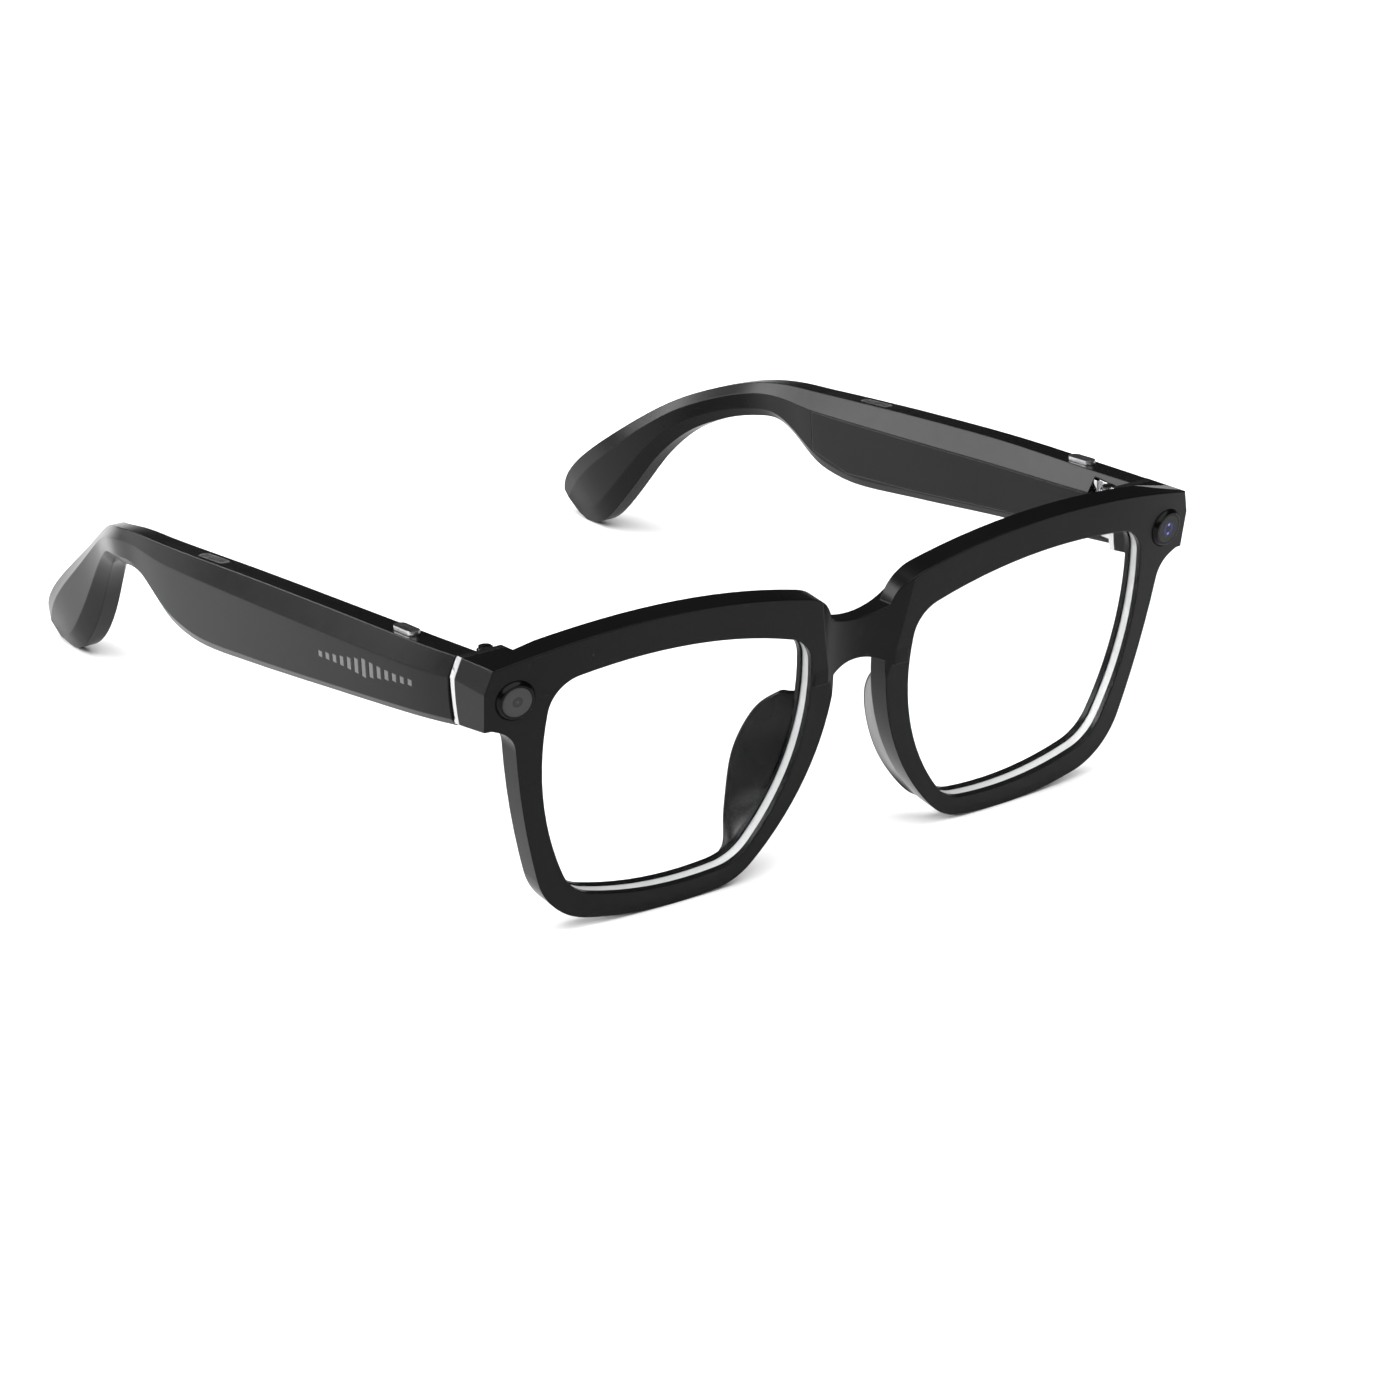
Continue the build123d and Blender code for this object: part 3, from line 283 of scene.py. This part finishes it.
def board_material():
    """Green solder mask with copper tracks just showing through it."""
    material, tree, shader = new_material("circuit_board")
    tracks = tree.nodes.new("ShaderNodeTexBrick")
    tracks.inputs["Scale"].default_value = TRACK_SCALE
    tracks.inputs["Color1"].default_value = (0.01, 0.1, 0.045, 1)
    tracks.inputs["Color2"].default_value = (0.012, 0.13, 0.06, 1)
    tracks.inputs["Mortar"].default_value = (0.05, 0.26, 0.12, 1)
    place = tree.nodes.new("ShaderNodeTexCoord")
    turned = tree.nodes.new("ShaderNodeMapping")
    turned.inputs["Rotation"].default_value = (0, math.pi / 2, 0)
    tree.links.new(place.outputs["Object"], turned.inputs["Vector"])
    tree.links.new(turned.outputs["Vector"], tracks.inputs["Vector"])
    tree.links.new(tracks.outputs["Color"], shader.inputs["Base Color"])
    vary_roughness(tree, shader, noise(tree, 1200), 0.3, 0.42)
    bump(tree, shader, tracks.outputs["Fac"], TRACK_STRENGTH, TRACK_DEPTH)
    return material


materials = {
    "black_shell": moulded("black_shell", BLACK, SOFT_BLACK, (0.245, 0.265), edge=SHELL_EDGE),
    "bezel": moulded("bezel", grey(0.0015), grey(0.0022), (0.16, 0.22), specular=0.08),
    "lens": lens_material(),
    # Camera window: a dark lens whose bluish bands, 0.5 to 1.1 mm out, are a painted reflection of
    # its coating; the two spots are painted glints.
    "camera_glass": disc_material(
        "camera_glass",
        [(0.0, (0.004, 0.004, 0.01)), (0.5, (0.008, 0.008, 0.03)), (0.8, (0.022, 0.022, 0.1)),
         (1.1, (0.02, 0.02, 0.08)), (1.4, (0.006, 0.007, 0.009)), (2.1, (0.007, 0.008, 0.008)),
         (2.6, grey(0.01))],
        [(0.8, 0.16, (0.22, 0.25, 0.5)), (-0.9, 0.16, (0.16, 0.19, 0.42))],
        (0.05, 0.08), 0.12),
    # Indicator window: the light dot in the middle, out to 0.25 mm, is a painted glint.
    "indicator_window": disc_material(
        "indicator_window",
        [(0.0, grey(0.05)), (0.25, grey(0.022)), (0.85, grey(0.016)), (0.98, grey(0.034)),
         (2.3, grey(0.032)), (2.7, grey(0.018))],
        [], (0.3, 0.38), 0.15),
    "component_black": moulded("component_black", grey(0.012), grey(0.022), (0.5, 0.65)),
    "circuit_board": board_material(),
    "ribbon_cable": moulded("ribbon_cable", (0.36, 0.15, 0.02), (0.5, 0.24, 0.04), (0.25, 0.35)),
    "battery_foil": metal("battery_foil", (0.42, 0.42, 0.44), (0.6, 0.6, 0.62), (0.3, 0.45),
                          scale=700),
    "hinge_metal": metal("hinge_metal", (0.4, 0.4, 0.41), (0.5, 0.5, 0.51), (0.12, 0.18),
                         (0.25, 1, 1)),
    "screw_steel": metal("screw_steel", (0.06, 0.06, 0.062), grey(0.11), (0.25, 0.4), (1, 1, 0.2)),
    "grille_metal": metal("grille_metal", (0.3, 0.3, 0.31), grey(0.42), (0.35, 0.5)),
    "button_metal": metal("button_metal", (0.3, 0.3, 0.31), (0.45, 0.45, 0.46), (0.25, 0.34),
                          (1, 0.25, 1)),
    "mark_grey": moulded("mark_grey", grey(0.1), grey(0.13), (0.45, 0.6)),
    "gold_contact": metal("gold_contact", (0.75, 0.5, 0.16), (0.9, 0.66, 0.28), (0.18, 0.28)),
}


def dress(node):
    """Gives a CAD node the material of its slot."""
    obj = nodes[node]
    obj.data.materials.clear()
    obj.data.materials.append(materials[slot_of[node]])


for name in nodes:
    dress(name)
# Light passes through the clear lenses, so they cast no shadow.
for name in ("lens_left", "lens_right"):
    nodes[name].visible_shadow = False


# ================================================================ edges
WELD_REACH = 0.001       # mm
EDGE_SEGMENTS = 2
EDGE_ANGLE = 30
EDGE_ROUND = {           # mm, for the left and right pieces of each kind
    "hinge_plate": 0.12,
    "button": 0.35,
    "hinge_leaf": 0.1,
    "hinge_screw": 0.12,
}
BEZEL_ROUND = 0.12


def soften(node, width):
    """Rounds a CAD node's sharp edges a little."""
    obj = nodes[node]
    weld = obj.modifiers.new("weld", "WELD")
    weld.merge_threshold = WELD_REACH * MM
    edges = obj.modifiers.new("edges", "BEVEL")
    edges.width = width * MM
    edges.segments = EDGE_SEGMENTS
    edges.limit_method = "ANGLE"
    edges.angle_limit = math.radians(EDGE_ANGLE)
    edges.harden_normals = True


for kind, width in EDGE_ROUND.items():
    for side in ("left", "right"):
        soften(f"{kind}_{side}", width)
for name in ("camera_bezel", "indicator_bezel"):
    soften(name, BEZEL_ROUND)


# ================================================================ floor, light and camera
def make_floor():
    """Plain pale floor under the glasses."""
    bpy.ops.mesh.primitive_plane_add(size=FLOOR_SIZE, location=(0, 0, cad_low.z - FLOOR_DROP * MM))
    floor = bpy.context.object
    floor.name = "floor"
    material, tree, shader = new_material("pale_floor")
    tree.links.new(blend_colours(tree, noise(tree, 6), grey(0.86), grey(0.89)),
                   shader.inputs["Base Color"])
    shader.inputs["Roughness"].default_value = 0.9
    shader.inputs["Specular IOR Level"].default_value = 0.1
    floor.data.materials.append(material)


def area_light(name, location, size, power):
    """Soft box that faces the middle of the glasses."""
    light = bpy.data.lights.new(name, "AREA")
    light.shape = "RECTANGLE"
    light.size, light.size_y = size
    light.energy = power
    lamp = bpy.data.objects.new(name, light)
    lamp.location = location
    towards = Vector((0, 0, LIGHT_AIM_Z)) - Vector(location)
    lamp.rotation_euler = towards.to_track_quat("-Z", "Y").to_euler()
    bpy.context.scene.collection.objects.link(lamp)


def direction(azimuth, elevation):
    """Unit vector from the glasses; azimuth 0 is -Y, and 90 is +X."""
    a, e = math.radians(azimuth), math.radians(elevation)
    return Vector((math.sin(a) * math.cos(e), -math.cos(a) * math.cos(e), math.sin(e)))


def make_camera():
    """Camera at the viewing angle, framed off the object's middle."""
    scene = bpy.context.scene
    data = bpy.data.cameras.new("camera")
    data.lens = FOCAL_LENGTH
    data.sensor_width = SENSOR
    data.shift_x = SHIFT_X
    data.shift_y = SHIFT_Y
    data.clip_start = NEAR_CLIP
    camera = bpy.data.objects.new("camera", data)
    turn = (Matrix.Rotation(math.radians(AZIMUTH), 4, "Z")
            @ Matrix.Rotation(math.radians(90 - ELEVATION), 4, "X")
            @ Matrix.Rotation(math.radians(ROLL), 4, "Z"))
    right, up, back = (turn.to_3x3().col[i] for i in range(3))
    middle = (cad_low + cad_high) / 2
    turn.translation = middle + back * DISTANCE + right * AIM_RIGHT + up * AIM_UP
    camera.matrix_world = turn
    scene.collection.objects.link(camera)
    scene.camera = camera


make_floor()
area_light("overhead", (*OVERHEAD_PLACE, OVERHEAD_HEIGHT), (OVERHEAD_SIZE, OVERHEAD_SIZE),
           OVERHEAD_POWER)
area_light("side_box",
           direction(180 + SIDE_BOX_AZIMUTH, SIDE_BOX_ELEVATION) * SIDE_BOX_DISTANCE,
           SIDE_BOX_SIZE, SIDE_BOX_POWER)
make_camera()

world = bpy.data.worlds.new("studio")
world.use_nodes = True
world.node_tree.nodes["Background"].inputs["Color"].default_value = (1, 1, 1, 1)
world.node_tree.nodes["Background"].inputs["Strength"].default_value = WORLD_STRENGTH
bpy.context.scene.world = world
bpy.context.scene.view_settings.view_transform = "Standard"
